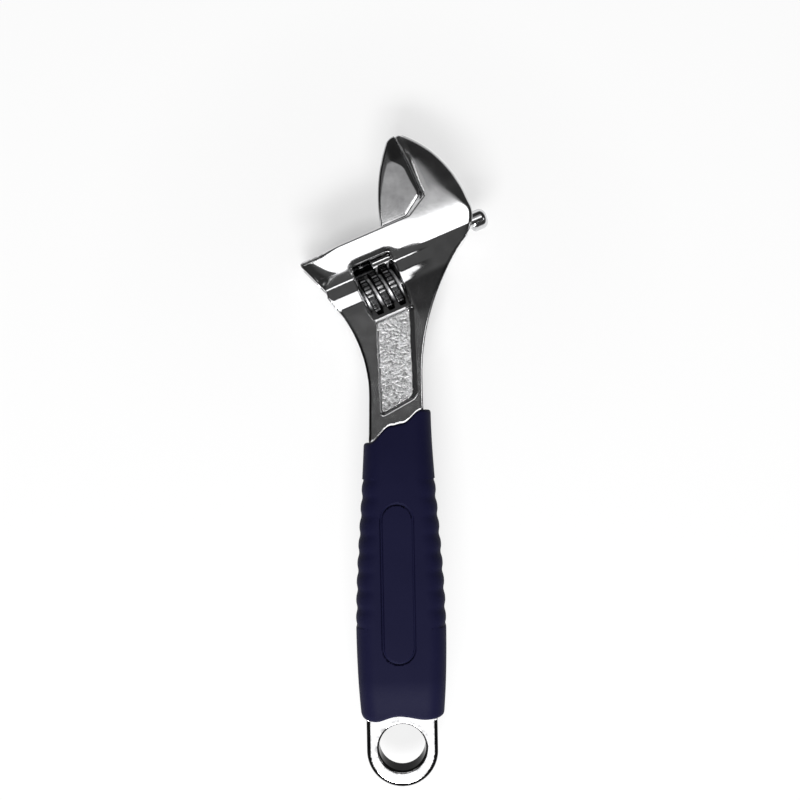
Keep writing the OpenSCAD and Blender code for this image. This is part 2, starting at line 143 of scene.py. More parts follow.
# Net of quads over the surface of a shape, drawn onto the exact surface afterwards
def netOver(shape, xs, ys, zs):
    axes = (xs, ys, zs)
    values = np.empty([len(a) for a in axes], np.float32)
    for i in range(0, len(xs), netSettings["slices"]):
        part = slice(i, i + netSettings["slices"])
        values[part] = shape(xs[part, None, None], ys[None, :, None], zs[None, None, :])
    inside = values < 0
    cellShape = [len(a) - 1 for a in axes]
    cellCount = int(np.prod(cellShape))
    sums, counts, quads = np.zeros((3, cellCount)), np.zeros(cellCount), []
    for a in range(3):
        b, c = (a + 1) % 3, (a + 2) % 3
        low, high = [slice(None)] * 3, [slice(None)] * 3
        low[a], high[a] = slice(0, -1), slice(1, None)
        low, high = tuple(low), tuple(high)
        index = np.stack(np.nonzero(inside[low] != inside[high]), 1)
        before, after = values[low][tuple(index.T)], values[high][tuple(index.T)]
        place = np.stack([axes[d][index[:, d]] for d in range(3)], 1).astype(float)
        run = axes[a][index[:, a] + 1] - axes[a][index[:, a]]
        place[:, a] += run * before / (before - after)
        corners = []
        for stepB, stepC in ((-1, -1), (0, -1), (0, 0), (-1, 0)):
            cell = index.copy()
            cell[:, b] += stepB
            cell[:, c] += stepC
            flat = np.ravel_multi_index(tuple(cell.T), cellShape)
            corners.append(flat)
            counts += np.bincount(flat, minlength=cellCount)
            for d in range(3):
                sums[d] += np.bincount(flat, place[:, d], minlength=cellCount)
        quad = np.stack(corners, 1)
        turned = before > 0
        quad[turned] = quad[turned][:, ::-1]
        quads.append(quad)
    used = counts > 0
    number = np.cumsum(used) - 1
    points = (sums[:, used] / counts[used]).T
    longest = netSettings["longestPull"] * min(np.diff(a).min() for a in axes)
    for _ in range(netSettings["pulls"]):
        slope = slopesOf(shape, points, netSettings["slopeReach"])
        move = shape(*points.T) / np.maximum((slope ** 2).sum(1), 0.1)
        step = slope * move[:, None]
        length = np.linalg.norm(step, axis=1, keepdims=True)
        points = points - step * np.minimum(1, longest / np.maximum(length, 1e-9))
    normals = slopesOf(shape, points, netSettings["normalReach"])
    normals /= np.maximum(np.linalg.norm(normals, axis=1, keepdims=True), 1e-9)
    return points, number[np.concatenate(quads)], normals


# marks are numbers from 0 to 1 at the mesh's points, which the materials read
def makePiece(name, points, quads, normals, body, replaced, marks=None):
    mesh = bpy.data.meshes.new(name)
    mesh.from_pydata((points * mm).tolist(), [], quads.tolist())
    mesh.shade_smooth()
    mesh.normals_split_custom_set_from_vertices(normals.tolist())
    for mark, values in (marks or {}).items():
        layer = mesh.attributes.new(mark, "FLOAT", "POINT")
        layer.data.foreach_set("value", np.asarray(values, np.float32))
    piece = bpy.data.objects.new(name, mesh)
    bpy.context.scene.collection.objects.link(piece)
    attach(piece, body)
    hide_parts(replaced)
    print(name, "has", len(points), "points and", len(quads), "faces")
    return piece


# Forged body

bodySettings = {
    "cell": 0.31,  # of the net, and the length of its cells along the plain handle
    "plainCell": 1.2,
    # head
    "beamTop": 17.3,
    "beamEnd": -21.2,  # tip of the beam, and the lean of its cut for each mm down
    "beamLean": 0.4,
    "beamHalf": 7.0,  # half thickness of the beam
    "faceLine": 23.2,  # the fixed jaw's face and the throat's corner
    "throat": 21.1,
    "throatTurn": math.radians(30),
    "back": (-2.74, 16.3, 38.5),  # centre and radius of the fixed jaw's back
    "shoulder": (25.16, 13.5, 10.6),
    "jawTip": 43.0,
    "tipRound": 0.8,
    "edgeRound": 0.8,  # rounds between faces and edges: the plain one and three others
    "jawRound": 1.8,
    "neckRound": 1.4,
    "ringRound": 0.5,
    "mouthRound": 0.7,  # along the mouth: in its middle, at the beam's end and at the jaw's tip
    "mouthEndRound": 1.6,
    "mouthTipRound": 0.4,
    "notchRound": 0.5,  # fine notches near the beam's end
    "notchPitch": 0.8,
    "headLow": 2.5,  # the head's outline ends here and the neck's goes on
    "headStart": 112,  # the faces of the head start here, and its outline a little higher
    "outlineStart": 118,
    # neck, handle and ring
    "neckHalf": 8.5,
    "neckStarts": (111.0, 116.0),  # the left and the right sweep start at these heights
    "sweepEnds": ((-20.9, 141.3), (22.7, 160.15)),
    "shankTop": ((-20, 8), (0, 5), (20, 4.2)),  # how far up the head the neck reaches
    "neckFillet": 0.6,
    "flareTop": 110,  # the handle widens from here down to the ring
    "ringTop": 9,
    "ringRadius": 11.2,
    "ringDrop": 1.1,
    "ringHalf": 4.0,
    "ringChamfer": (1.15, 0.5),  # width and slope
    "holeRadius": 7.4,
    "holeRound": 0.8,
    "gripLine": [(-9, 96.0), (-1.5, 101.4), (1.5, 102.0), (8, 106.2)],  # the grip's wavy top
    "gripStep": (0.48, 0.14, 0.09),  # a small step up to it: width, slope at the left, at the right
    # window, its relief, and the panel in the neck
    "windowHalf": 6.5,
    "windowLow": -8.2,
    "windowTop": 9.3,
    "windowCorner": 1.0,
    "windowRounds": (0.12, 0.35, 0.85),  # along its foot, at its corners, and beside the knurl
    "windowBack": (-3.8, 7.2),  # behind this depth the window is only this high
    "reliefReach": 3.4,
    "reliefRadius": 8.5,
    "panelTop": 9.5,  # below the knurl
    "panelHigh": 28,
    "panelHalf": 4.95,
    "panelLean": 0.8,
    "panelSlant": 5.4 / 9.9,
    "panelCorners": (0.8, 1.6),  # at the top and at the bottom
    "panelDepth": 1.1,
    "panelDrafts": (0.42, 1.4, 0.28, 1.05),  # lean of the left, right, top and bottom wall
    # bores
    "rodLine": 8.3,  # the sliding rod's middle
    "boreRadius": 3.3,
    "slotHalf": 2.1,
    "slotEnd": 15.7,
    "pinBore": (1.65, 11.55),  # radius, and where it ends
    "screwBore": (2.35, -9.9),
    # slope of the web and the beam, in degrees, at heights q: left of the window, right beside it
    # and further right
    "leftSlope": [(-28, 0), (-23, 2.5), (-14, 3.5), (-2.0, 4.5), (-1.0, 20.7), (1.9, 18.3),
                  (2.5, 8), (5.5, 8), (5.55, 21), (6.0, 21), (6.05, 12), (8.8, 2), (9.6, 0)],
    "middleSlope": [(-28, 0), (-23, 2.5), (-14, 3.5), (-2.0, 4.5), (1.0, 18.8), (2.1, 18.8),
                    (2.6, 8), (5.5, 8), (5.55, 21), (6.0, 21), (6.05, 12), (8.8, 2), (9.6, 0)],
    "rightSlope": [(-14, 4), (-9, 8), (4.4, 10), (7.2, 10), (7.5, 0), (9.6, 0)],
    "middleBlend": (6, 15),  # from the left slopes to the middle ones, across the head
    "rightBlend": (11, 20),
    "jawSlope": [(13, 0), (16.8, 4.2), (19.5, 5.6), (22, 6.6), (25, 8.2), (34, 8.2),
                 (36.5, 13), (60, 14)],
}


def profileOf(slopes, start, end, endHeight):  # heights that follow from slopes
    step = 0.02
    qs = np.arange(start, end, step)
    tilt = np.interp(qs, [s[0] for s in slopes], [s[1] for s in slopes])
    climb = np.concatenate([[0], np.cumsum(np.tan(np.radians(tilt[:-1])) * step)])
    return qs, climb - climb[-1] + endHeight


leftProfile = profileOf(bodySettings["leftSlope"], -29, 12, bodySettings["beamHalf"])
middleProfile = profileOf(bodySettings["middleSlope"], -29, 12, bodySettings["beamHalf"])
rightProfile = profileOf(bodySettings["rightSlope"], -14, 12, bodySettings["beamHalf"])
jawFall = profileOf(bodySettings["jawSlope"], 12, 50, 0)
jawFall = (jawFall[0], jawFall[1] - jawFall[1][0])


def backEdge(p, q):  # shoulder, short straight stretch and back of the fixed jaw
    backP, backQ, backR = bodySettings["back"]
    p0, q0, r = bodySettings["shoulder"]
    back = np.hypot(p - backP, q - backQ) - backR
    shoulder = np.hypot(np.maximum(p - p0, 0), np.minimum(q - q0, 0)) - r
    return np.where(q > backQ, back, shoulder)


def beamCut(p, q):  # the beam's leaning left end
    s = bodySettings
    lean = s["beamLean"]
    return (s["beamEnd"] + lean * (s["beamTop"] - q) - p) / math.hypot(1, lean)


def mouthEdge(p, q):  # positive in the mouth between the jaws
    s = bodySettings
    rise, run = math.sin(s["throatTurn"]), math.cos(s["throatTurn"])
    bevel = (q - s["throat"]) * run - (p - s["faceLine"]) * rise
    return np.minimum(np.minimum(q - s["beamTop"], s["faceLine"] - p), bevel)


def flareAt(y):  # 0 at the neck and 1 at the ring
    top, low = bodySettings["flareTop"], bodySettings["ringTop"]
    return np.clip((top - y) / (top - low), 0, 1)


def handleEdge(x, y):  # ring, handle, neck and the two sweeps up to the head
    s = bodySettings
    half = s["neckHalf"] + (s["ringRadius"] - s["neckHalf"]) * flareAt(y)
    sides = []
    for side, start, end in zip((-1, 1), s["neckStarts"], s["sweepEnds"]):
        out, up = abs(end[0]) - s["neckHalf"], end[1] - start
        r = (out ** 2 + up ** 2) / (2 * out)
        sweep = r - np.hypot(side * x - s["neckHalf"] - r, y - start)
        edge = np.where(y > start, sweep, side * x - half)
        sides.append(np.where(y > end[1], side * x - abs(end[0]), edge))
    p, q = toHead(x, y)
    shank = np.maximum(np.maximum(*sides), q - np.interp(p, *zip(*s["shankTop"])))
    ringEnd = np.hypot(x, np.minimum(y + s["ringDrop"], 0)) - s["ringRadius"]
    return np.where(y > s["ringTop"], shank, ringEnd)


def windowEdge(p, q):
    s = bodySettings
    across = np.abs(p) - s["windowHalf"]
    top = trimmed(across, q - s["windowTop"], s["windowCorner"])
    return np.maximum(top, s["windowLow"] - q)


def panelEdge(x, y, up):  # the panel in the neck, at a height over its floor
    s = bodySettings
    leftDraft, rightDraft, topDraft, lowDraft = s["panelDrafts"]
    topCorner, lowCorner = s["panelCorners"]
    top = headPlace[1] + (-headPlace[0] * math.sin(headTurn) - s["panelTop"]) / math.cos(headTurn)
    above = (y - top - x * math.tan(headTurn)) * math.cos(headTurn)
    slant = s["panelSlant"]
    below = -(y - (top - s["panelHigh"]) - x * slant) / math.hypot(1, slant)
    lean = (y - (top - s["panelHigh"] / 2)) / s["panelHigh"] * s["panelLean"]
    draft = leftDraft + (rightDraft - leftDraft) * between(x, -3, 3)
    sides = np.abs(x + lean) - s["panelHalf"] - draft * up
    return trimmed(trimmed(sides, above - topDraft * up, topCorner), below - lowDraft * up, lowCorner)


def waveEdge(x, knots):  # smooth half waves through the knots
    result = np.full(np.shape(x), float(knots[0][1]))
    for (x0, y0), (x1, y1) in zip(knots, knots[1:]):
        t = np.clip((x - x0) / (x1 - x0), 0, 1)
        result = result + (y1 - y0) * (1 - np.cos(math.pi * t)) / 2
    return result


def gripTop(x):
    return waveEdge(x, bodySettings["gripLine"])


# The next functions say how far the face falls below the plain height of the head.

def leftFall(p, q):  # to the beam's cut
    reach = 0.2 + 4.4 * between(q, 0, 11)  # from the cut inward
    corner = 0.1 + 3.9 * between(q, 5, 9)
    bandLow, steepness = 9.5, 1 / 5.2
    inward = trimmed(beamCut(p, q) + reach, bandLow - q, corner)
    inward = np.clip(inward - np.maximum(bandLow - q, 0), 0, 5)
    return steepness * inward ** 2 / reach * between(q, 0.5, 3)


def backFall(p, q):  # to the fixed jaw's back
    reach = 1.5 + 6.5 * between(q, 10, 24) * (1 - 0.25 * between(q, 26, 40))
    steepness = 1 / 4.5
    inward = np.clip(reach + backEdge(p, q), 0, reach)
    return steepness * inward ** 2 / reach * between(q, 4, 9) * between(p, 12, 18)


def lipFall(p, q):  # to the fixed jaw's face, in two steps
    lip, line = 0.3 + 0.9 * between(q, 22, 36), 0.7  # widths
    lipSlope, lineSlope = 0.35, 0.25 * between(q, 38, 34)
    inward = bodySettings["faceLine"] - p
    onLip, onLine = np.clip(inward + lip, 0, 3), np.clip(inward + lip + line, 0, 3)
    return (lipSlope * onLip + lineSlope * onLine) * between(q, 21, 22.5)


def ribFall(p, q):  # the rib under the window leans towards it
    low, height, middle, slope = -9.7, 1.7, -0.6, 0.085
    rib = np.clip(q - low, 0, height) * between(np.abs(p - middle), 5.6, 5.0)
    return slope * rib * (q < -7)


def reliefFall(p, q):  # polished relief over the window
    reach, r = bodySettings["reliefReach"], bodySettings["reliefRadius"]
    middle, half, low, stretch = 0.3, 4, 8.2, 1.6
    across, up = np.maximum(np.abs(p - middle) - half, 0), np.maximum(q - low, 0)
    dip = np.clip(reach - np.hypot(across / stretch, up), 0, reach)
    return (r - np.sqrt(r * r - dip * dip)) * between(q, 6, 8)


def faceHeight(x, y, p, q):  # half thickness of the body before its edges are rounded
    s = bodySettings
    toMiddle, toRight = between(p, *s["middleBlend"]), between(p, *s["rightBlend"])
    head = np.interp(q, *leftProfile) * (1 - toMiddle) + np.interp(q, *middleProfile) * toMiddle
    head = head * (1 - toRight) + np.interp(q, *rightProfile) * toRight
    head = head - np.interp(q + 1.5 * between(p, 12, 22), *jawFall)  # lower down at the back
    for fall in (leftFall, backFall, lipFall, ribFall, reliefFall):
        head = head - fall(p, q)
    top = s["ringTop"]
    handle = np.interp(y, [top, s["flareTop"]], [s["ringHalf"], leftProfile[1][0]])
    width, slope = s["ringChamfer"]
    handle = handle - slope * np.clip(width + handleEdge(x, y), 0, 2) * between(y, top, top - 1)
    width, leftSlope, rightSlope = s["gripStep"]
    slope = leftSlope + (rightSlope - leftSlope) * between(x, 3, 6)
    handle = handle + slope * np.clip(width + gripTop(x) - y, 0, 0.8)
    return np.where(y > s["headStart"], head, handle)


def edgeRound(y, p, q):
    s = bodySettings
    plain = s["edgeRound"]
    onJaw = (s["jawRound"] - plain) * between(p, 22, 26) * between(q, 9, 14)
    onNeck = (s["neckRound"] - plain) * between(y, 94, 98) * between(q, 4, 1)
    onRing = (s["ringRound"] - plain) * between(y, 12, 10)
    return plain + onJaw + onNeck + onRing


def windowRound(p, q):
    foot, corners, sides = bodySettings["windowRounds"]
    beside = between(q, 6.5, 5) * between(q, -7, -5.5) * between(np.abs(p), 5.5, 6.3)
    return foot + (corners - foot) * between(q, -7.8, -7.4) + (sides - corners) * beside


def mouthRound(p, q):
    s = bodySettings
    notches = s["notchRound"] * (0.5 + 0.5 * np.cos(2 * math.pi * p / s["notchPitch"]))
    atEnd = (s["mouthEndRound"] - s["mouthRound"] + notches) * between(p, -7, -15)
    return s["mouthRound"] + atEnd + (s["mouthTipRound"] - s["mouthRound"]) * between(q, 38, 41)


def bodyShape(x, y, z):
    s = bodySettings
    p, q = toHead(x, y)
    az = np.abs(z)
    height = faceHeight(x, y, p, q)
    headEdge = np.maximum(backEdge(p, q), beamCut(p, q))
    headEdge = trimmed(headEdge, q - s["jawTip"], s["tipRound"])
    headEdge = np.maximum(headEdge, s["headLow"] - q)
    shank = handleEdge(x, y)
    edge = np.where(y > s["outlineStart"], joined(headEdge, shank, s["neckFillet"]), shank)
    radius = edgeRound(y, p, q)
    # the round stops short of upright
    spare = (0.3 + 0.14 * between(q, 14, 20)) * radius
    shape = np.maximum(trimmed(edge - spare, az - height, radius), edge)
    shape = trimmed(shape, mouthEdge(p, q), mouthRound(p, q))
    shape = trimmed(shape, s["holeRadius"] - np.hypot(x, y), s["holeRound"])
    up = az - height + s["panelDepth"]
    trueness = 0.58  # the leaning walls are nearer than they are in plan
    panel = trimmed(panelEdge(x, y, up) * trueness, -up, 0.2)
    shape = trimmed(shape, -panel, 0.1)
    depth, high = s["windowBack"]  # at the back the window is a little shorter
    behind = np.maximum(z - depth, high - np.abs(q))
    shape = trimmed(shape, -np.maximum(windowEdge(p, q), -behind), windowRound(p, q))
    rodBore = np.hypot(q - s["rodLine"], z) - s["boreRadius"]
    keySlot = np.maximum(np.maximum(az - s["slotHalf"], s["rodLine"] - q), p - s["slotEnd"])
    shape = trimmed(shape, -np.minimum(rodBore, keySlot), 0.25)
    (pinRadius, pinEnd), (screwRadius, screwEnd) = s["pinBore"], s["screwBore"]
    pinBore = np.hypot(q, z) - np.where(p < screwEnd, screwRadius, pinRadius)
    return trimmed(shape, -np.maximum(pinBore, p - pinEnd), 0.15)


def softenTops(normals, chosen):  # the top of a wall takes the shade of the round above it
    lean = 0.69
    flat = np.hypot(normals[:, 0], normals[:, 1])
    steep = chosen & (flat > lean)
    normals[steep, :2] *= (lean / flat[steep])[:, None]
    normals[steep, 2] = np.sign(normals[steep, 2]) * math.sqrt(1 - lean ** 2)


def bodyMarks(points, normals, below):  # below is how far a point lies under the face
    s = bodySettings
    x, y, z = points.T
    p, q = toHead(x, y)
    upright = np.abs(normals[:, 2])
    fromHole = np.hypot(x, y) - s["holeRadius"]
    # castFloor is the panel's rough floor, satin is less polished, rim is where the ring is nicked
    castFloor = (below > 0.8) * (panelEdge(x, y, 0) < 0.1) * (upright ** 2 > 0.8)
    satin = np.where(q < 8, 0.45 * between(q, -2, -5), between(q, 16, 21)) * (y > 20)
    rim = between(np.minimum(-handleEdge(x, y), fromHole), 2.2, 0) * (y < 12) * (upright > 0.7)
    # painted shade, dark: on the walls of window and hole, the ring's and the neck's edges, and in
    # two corners
    walls = (np.minimum(windowEdge(p, q), fromHole) < 0.2) * (below > 0.5)
    onRing = 0.8 * (y < s["ringTop"]) * (below < 2) * between(upright, 0.97, 0.87)
    onNeck = 0.9 * (x < -6) * between(y, 92, 96) * between(y, 134, 128)
    onNeck = onNeck * between(upright, 0.997, 0.977)
    corners = np.exp(-((q + 9.0) / 1.0) ** 4) + np.exp(-((q - 9.6) / 0.6) ** 4)
    corners = corners * 0.95 * np.exp(-((p - 6.0) / 0.9) ** 4) * (z > 3)
    edges = np.maximum(onRing, onNeck) * between(upright, 0.12, 0.27)
    inner = np.maximum(np.maximum(walls, edges), corners)
    # painted shade, softer: right of the window's foot, over the window, and on the fixed jaw
    paintedDusk = between(p, 6.5, 8) * between(q, -15, -10) * between(q, -0.3, -2.3)
    over = between(q, 9.3, 9.7) * between(q, 11.8, 11.2) * between(np.abs(p), 6.5, 5.5)
    onJaw = between(p - s["faceLine"], 1.8, 2.6)
    onJaw = onJaw * (0.35 * between(q, 20.5, 24.5) + 0.25 * between(q, 29, 35))
    paintedDusk = np.maximum(np.maximum(paintedDusk, 0.65 * over), onJaw)
    return {"castFloor": castFloor, "satin": satin, "inner": inner, "rim": rim, "paintedDusk": paintedDusk}


def makeBody():
    cell, plainCell = bodySettings["cell"], bodySettings["plainCell"]
    xs = steps((-30.5, 32.5, cell))
    ys = steps((-13.5, 14, cell), (14, 92, plainCell), (92, 195, cell))
    zs = steps((-7.6, 7.6, cell))
    points, quads, normals = netOver(bodyShape, xs, ys, zs)
    x, y, z = points.T
    below = faceHeight(x, y, *toHead(x, y)) - np.abs(z)
    marks = bodyMarks(points, normals, below)
    softenTops(normals, below < 0.9)
    return makePiece("forgedBody", points, quads, normals, "handle", "body", marks)


# Movable jaw

threadSettings = {  # shared by the jaw's rack and the knurl
    "pitch": 3.85,
    "flankSlope": 0.249,
    "pitchRadius": 5.95,
    "crestRadius": 6.9,
}

jawSettings = {
    "cell": 0.27,
    "rodRadius": 3.2,
    "rodLength": 39.7,
    "rodRound": 2.0,
    "firstGap": -1.3825,  # gaps of the rack, one pitch apart
    "lastGap": 9,
    "gapHalf": 1.14,
    "gapTop": 7.05,
    "flankTrueness": 0.97,  # the leaning flanks are nearer than they are along the rod
    "key": (11.55, 4.05, 2, 18.6),  # its middle, half length, half thickness and top
    "thinner": 0.3,  # than the beam, on each side
    "foot": (7.2, 17.4),  # left end of the blade's foot
    "footEnd": 15.9,  # and its right end
    "tip": (20.9, 43.4),
    "bladeRadius": 60,  # of the blade's outer edge
    "faceLine": 23.1,
    "nest": 22.3,  # the blade's bevel ends here
    "chamfer": 0.9,  # along the foot and the bevel, with the slope of each
    "footSlope": 0.46,
    "bevelSlope": 0.55,
    "tipRound": 1.6,
    "edgeRound": 0.9,  # all along the blade's outer edge
    "seamRound": 0.5,
    "footRound": 0.25,
}


def bladeEdge(p, q):  # the blade's curved left edge, and the bevel over the throat
    s = jawSettings
    foot, tip, r = np.array(s["foot"]), np.array(s["tip"]), s["bladeRadius"]
    chord = tip - foot
    half = np.linalg.norm(chord) / 2
    inward = np.array([chord[1], -chord[0]]) * math.sqrt(r * r - half * half) / (2 * half)
    centre = (foot + tip) / 2 + inward
    left = np.hypot(p - centre[0], q - centre[1]) - r
    run, rise = s["faceLine"] - s["footEnd"], s["nest"] - foot[1]
    bevel = ((p - s["footEnd"]) * rise - (q - foot[1]) * run) / math.hypot(run, rise)
    return left, bevel


def bladeShape(p, q, az):
    s = jawSettings
    left, bevel = bladeEdge(p, q)
    height = bodySettings["beamHalf"] - s["thinner"] - np.interp(q + 1, *jawFall)
    overFoot = s["footSlope"] * (s["chamfer"] + s["foot"][1] - q)
    overBevel = s["bevelSlope"] * (s["chamfer"] + bevel)
    height = height - np.maximum(np.maximum(overFoot, overBevel), 0)
    # the face bends down towards the seam between the jaws
    reach = 1.8 + 0.6 * between(q, 22, 30) + 2.5 * between(q, 31, 37)
    steepness = 1 / 4.4
    toSeam = p - s["faceLine"]
    height = height - steepness * np.clip(reach + toSeam, 0, reach) ** 2 / reach
    blade = trimmed(left, q - s["tip"][1], s["tipRound"])
    blade = trimmed(blade, az - height, s["edgeRound"])
    blade = trimmed(blade, toSeam, s["seamRound"])
    blade = trimmed(blade, bevel, s["footRound"])
    return trimmed(blade, s["foot"][1] - q, s["footRound"])


def rodShape(p, q, z):  # the sliding rod and the rack cut into it
    s, thread = jawSettings, threadSettings
    rod = np.hypot(q - bodySettings["rodLine"], z) - s["rodRadius"]
    rod = trimmed(trimmed(rod, p - s["rodLength"], s["rodRound"]), -p, 0.2)
    lead = math.atan(thread["pitch"] / (2 * math.pi * thread["pitchRadius"]))
    along = (p - s["firstGap"]) * math.cos(lead) - z * math.sin(lead)
    number = np.clip(np.round(along / thread["pitch"]), 0, s["lastGap"])
    along = np.abs(along - thread["pitch"] * number)
    half = s["gapHalf"] + (thread["crestRadius"] - q) * thread["flankSlope"]
    gap = trimmed((along - half) * s["flankTrueness"], q - s["gapTop"], 0.2)
    return trimmed(rod, -gap, 0.15)


def jawShape(p, q, z):
    az = np.abs(z)
    middle, length, thick, top = jawSettings["key"]
    key = np.maximum(np.maximum(np.abs(p - middle) - length, az - thick),
                     np.maximum(bodySettings["rodLine"] - q, q - top))
    return np.minimum(np.minimum(bladeShape(p, q, az), rodShape(p, q, z)), key)


def makeJaw():
    cell = jawSettings["cell"]
    grid = steps((-0.8, 41, cell)), steps((4.3, 44.2, cell)), steps((-7.2, 7.2, cell))
    points, quads, normals = netOver(jawShape, *grid)
    p, q, z = points.T
    # painted shade: on the blade's back, its tip, and its edge along the seam between the jaws
    border = 0.2 + 0.12 * np.maximum(q - 20, 0)  # it widens towards the tip
    back = between(border + bladeEdge(p, q)[0], -0.25, 0.25)
    back = back * between(q, 37.5, 34.5) * between(q, 18.5, 20.5)
    seam = between(p - jawSettings["faceLine"], -0.65, -0.35) * (p < 24)
    paintedDusk = np.maximum(np.maximum(0.85 * back, 0.45 * between(q, 34.5, 36)), 0.9 * seam)
    return makePiece("movableJaw", fromHead(points), quads, normalsFromHead(normals), "movable_jaw",
                     "movable_jaw", {"paintedDusk": paintedDusk})


# Knurl

knurlSettings = {
    "cell": 0.16,
    "rootRadius": 5.0,
    "boreRadius": 1.65,
    "pocket": (2.45, -2.6),  # radius and bottom of the spring's pocket
    "frontCrest": -0.42,
    "crestHalf": 0.95,
    "flankTrueness": 0.965,  # the leaning flanks are nearer than they are along the axis
    "length": 12.0,
    "ridges": 28,
    "ridgeStart": 0.2,
    "ridgeDepth": 0.3,
    "endChamfer": 0.5,
    "crestRound": 0.22,
    "rootRound": 0.25,
}


def ridgeWave(turn):  # 1 on top of the ridges and 0 between them
    s = knurlSettings
    return 0.5 + 0.5 * np.cos(2 * math.pi * (turn * s["ridges"] + s["ridgeStart"]))


def knurlShape(p, q, z):
    s, thread = knurlSettings, threadSettings
    crest, pitch = thread["crestRadius"], thread["pitch"]
    r = np.hypot(q, z)
    turn = np.arctan2(q, -z) / (2 * math.pi)
    along = p - s["frontCrest"] - pitch * (turn - 0.5)
    along = along - pitch * np.round(along / pitch)
    ridge = s["ridgeDepth"] * (1 - ridgeWave(turn)) ** 1.5
    flank = np.abs(along) - s["crestHalf"] - (crest - r) * thread["flankSlope"]
    knurl = trimmed(flank * s["flankTrueness"], r - crest + ridge, s["crestRound"])
    knurl = joined(knurl, r - s["rootRadius"], s["rootRound"])
    end = np.abs(p) - s["length"] / 2
    knurl = trimmed(knurl, (end + r - crest + s["endChamfer"]) * math.sqrt(0.5), 0.1)
    knurl = trimmed(trimmed(knurl, end, 0.1), s["boreRadius"] - r, 0.15)
    radius, bottom = s["pocket"]
    return trimmed(knurl, -np.maximum(r - radius, p - bottom), 0.1)


def makeKnurl():
    ps = steps((-6.4, 6.4, knurlSettings["cell"]))
    across = steps((-7.3, 7.3, knurlSettings["cell"]))
    points, quads, normals = netOver(knurlShape, ps, across, across)
    p, q, z = points.T
    r = np.hypot(q, z)
    top = ridgeWave(np.arctan2(q, -z) / (2 * math.pi)) * (r > 6.3)
    highlightBand = np.exp(-((q + 0.4) / 1.4) ** 4)  # painted highlight in a band across the crests
    # groove floors take the light tone; ridge tops in the band take it as a painted highlight
    marks = {"groove": between(r, 5.2, 5.05), "ridgeHighlight": 0.9 * highlightBand * top ** 2}
    return makePiece("knurl", fromHead(points), quads, normalsFromHead(normals), "knurl", "knurl",
                     marks)


# Grip

gripSettings = {
    "cell": 0.36,
    "high": 106.2,
    "widest": 38.2,
    "width": 28.4,
    "topWidth": 21.2,
    "lowNarrow": (30, 1.2),  # below the widest place: this far down it narrows by this much
    "endNarrow": (11.2, 7.2, 2.2),  # and again between two heights
    "half": 9.0,  # half thickness, and how much thinner it is at each end
    "thinner": 1.6,
    "lowThin": (22.2, 8.2),
    "highThin": (82.2, 106.2),
    "corner": 6.2,
    "shift": 0.3,
    "bottomLine": [(-9.5, 8.7), (-1, 10.6), (8, 9.4)],
    "endRound": 0.9,
    "notches": 8,
    "notchStep": 5.8,
    "notchDepth": 0.4,
    "bore": (8.55, 5.05),  # half width and half thickness at the neck
    "boreFlare": (2.7, -1.0),  # how much more they are at the ring
    "labelLine": (9.8, 49.4, 52.2, -0.5),  # width, length and middle of the long rounded line
    "lineRadius": 0.32,
    "lineRise": 0.05,
}


def gripShape(x, y, z):
    s = gripSettings
    widest = s["widest"]
    turn = (y - widest) / s["notchStep"]
    notch = s["notchDepth"] * np.abs(np.cos(math.pi * turn)) ** 3
    notch = np.where((turn < 0) | (turn > s["notches"]), 0, notch)
    climb = between(y, widest, s["high"])
    upper = (s["width"] - (s["width"] - s["topWidth"]) * climb) / 2
    (far, lowNarrow), (start, stop, endNarrow) = s["lowNarrow"], s["endNarrow"]
    low, end = np.clip((widest - y) / far, 0, 2), np.maximum(0, (start - y) / (start - stop))
    lower = s["width"] / 2 - lowNarrow * low ** 2 - endNarrow * end ** 2
    half = np.where(y > widest, upper, lower) - notch
    thinner = s["thinner"] * (between(y, *s["lowThin"]) + between(y, *s["highThin"]))
    thick, r = s["half"] - thinner, s["corner"]
    ax, az = np.abs(x - s["shift"]) - (half - r), np.abs(z) - (thick - r)
    outside = np.hypot(np.maximum(ax, 0), np.maximum(az, 0)) + np.minimum(np.maximum(ax, az), 0) - r
    grip = trimmed(outside, (y - gripTop(x)) * 0.85, s["endRound"])
    grip = trimmed(grip, (waveEdge(x, s["bottomLine"]) - y) * 0.95, s["endRound"])
    boreX, boreZ = (b + more * flareAt(y) for b, more in zip(s["bore"], s["boreFlare"]))
    grip = trimmed(grip, -trimmed(np.abs(x) - boreX, np.abs(z) - boreZ, 1.0), 0.3)
    width, length, middleY, middleX = s["labelLine"]
    endY = np.maximum(np.abs(y - middleY) - (length - width) / 2, 0)
    line = np.hypot(x - middleX, endY) - width / 2
    groove = np.hypot(line, np.maximum(thick - s["lineRise"] - np.abs(z), 0)) - s["lineRadius"]
    return trimmed(grip, -groove, 0.12)


def makeGrip():
    cell = gripSettings["cell"]
    grid = steps((-14.6, 15.2, cell)), steps((6.2, 107.4, cell)), steps((-9.3, 9.3, cell))
    points, quads, normals = netOver(gripShape, *grid)
    return makePiece("vinylGrip", points, quads, normals, "handle", "grip")


# Materials

def addNode(material, kind, inputs=None, **settings):
    node = material.node_tree.nodes.new(kind)
    for key, value in settings.items():
        setattr(node, key, value)
    for key, value in (inputs or {}).items():
        if isinstance(value, bpy.types.NodeSocket):
            material.node_tree.links.new(value, node.inputs[key])
        else:
            node.inputs[key].default_value = value
    return node


def newMaterial(name):
    material = bpy.data.materials.new(name)
    material.use_nodes = True
    shader = material.node_tree.nodes["Principled BSDF"]
    place = addNode(material, "ShaderNodeTexCoord").outputs["Object"]
    return material, shader, place


def feed(material, shader, **sockets):  # an underline in a name stands for a space
    for name, value in sockets.items():
        socket = shader.inputs[name.replace("_", " ")]
        if isinstance(value, bpy.types.NodeSocket):
            material.node_tree.links.new(value, socket)
        else:
            socket.default_value = value


